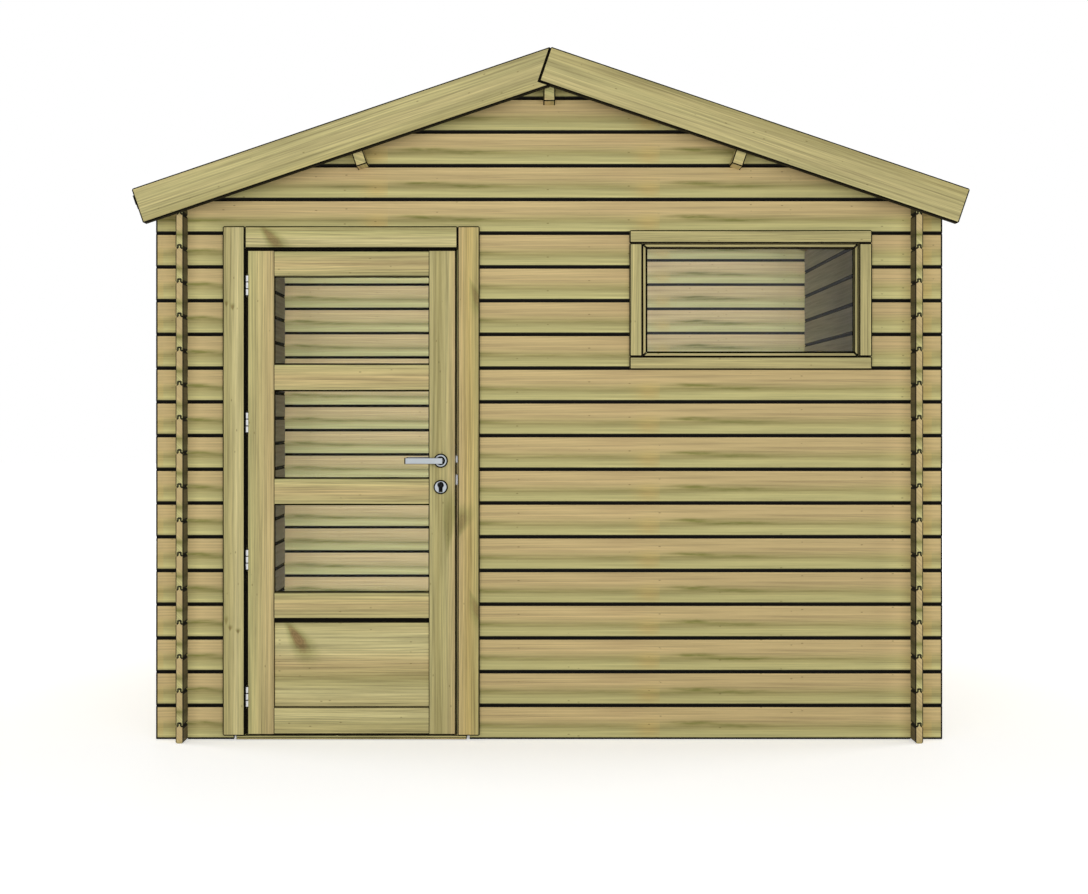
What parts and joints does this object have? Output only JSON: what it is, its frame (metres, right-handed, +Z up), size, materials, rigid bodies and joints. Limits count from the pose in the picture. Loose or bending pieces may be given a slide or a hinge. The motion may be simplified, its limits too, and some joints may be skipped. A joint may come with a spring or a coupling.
{
  "type": "log garden shed",
  "caption": "Garden shed of interlocking logs under a low gable roof, with a part-glazed hinged door on the left and a fixed landscape window on the right.",
  "frame": {"origin": "on the ground, at the middle of the shed's plan", "axes": "+X to the right along the door wall, +Y to the back, +Z up"},
  "size_m": [3.134, 3.075, 2.603],
  "materials": {
    "log_timber": "planed, impregnated softwood, greenish",
    "side_timber": "planed, impregnated softwood, greenish",
    "frame_timber": "planed, impregnated softwood",
    "door_timber": "planed, impregnated softwood",
    "roof_timber": "sawn boards, impregnated softwood",
    "roof_felt": "mineral-faced bitumen felt",
    "clear_glass": "clear float glass",
    "bright_steel": "satin",
    "zinc_steel": "zinc plated"
  },
  "bodies": {
    "shed": {"front_wall_left_logs": "log_timber", "front_wall_lower_logs": "log_timber", "front_wall_pier_logs": "log_timber", "front_wall_end_logs": "log_timber", "front_gable_logs": "log_timber", "back_wall_logs": "log_timber", "back_gable_logs": "log_timber", "left_wall_logs": "side_timber", "right_wall_logs": "side_timber", "ridge_purlin": "roof_timber", "left_purlin": "roof_timber", "right_purlin": "roof_timber", "left_roof_boards": "roof_timber", "right_roof_boards": "roof_timber", "left_roof_felt": "roof_felt", "right_roof_felt": "roof_felt", "front_left_bargeboard": "roof_timber", "front_right_bargeboard": "roof_timber", "back_left_bargeboard": "roof_timber", "back_right_bargeboard": "roof_timber", "left_eaves_board": "roof_timber", "right_eaves_board": "roof_timber", "door_left_jamb": "frame_timber", "door_right_jamb": "frame_timber", "door_head": "frame_timber", "door_threshold": "frame_timber", "door_outer_casings": "frame_timber", "door_inner_casings": "frame_timber", "window_frame": "frame_timber", "window_outer_casings": "frame_timber", "window_inner_casings": "frame_timber", "window_beads": "frame_timber", "window_glass": "clear_glass", "hinge_jamb_leaves": "zinc_steel", "hinge_pins": "zinc_steel", "strike_plate": "zinc_steel"},
    "door": {"door_stiles": "door_timber", "door_rails": "door_timber", "door_panel": "door_timber", "door_glass": "clear_glass", "hinge_door_leaves": "zinc_steel", "door_lock": "zinc_steel", "door_roses": "bright_steel", "lock_cylinder": "bright_steel"},
    "lever": {"door_lever": "bright_steel"}
  },
  "joints": [
    {"name": "door_swing", "type": "hinge", "parent": "shed", "child": "door", "pos_m": [-1.146, -1.405, 0.9], "axis": [0, 0, -1], "range_deg": [0, 120]},
    {"name": "lever_turn", "type": "hinge", "parent": "door", "child": "lever", "pos_m": [-0.4115, -1.38, 1.0575], "axis": [0, -1, 0], "range_deg": [0, 40], "stiffness_Nm_per_rad": 1.5, "springref_deg": -22.92}
  ]
}
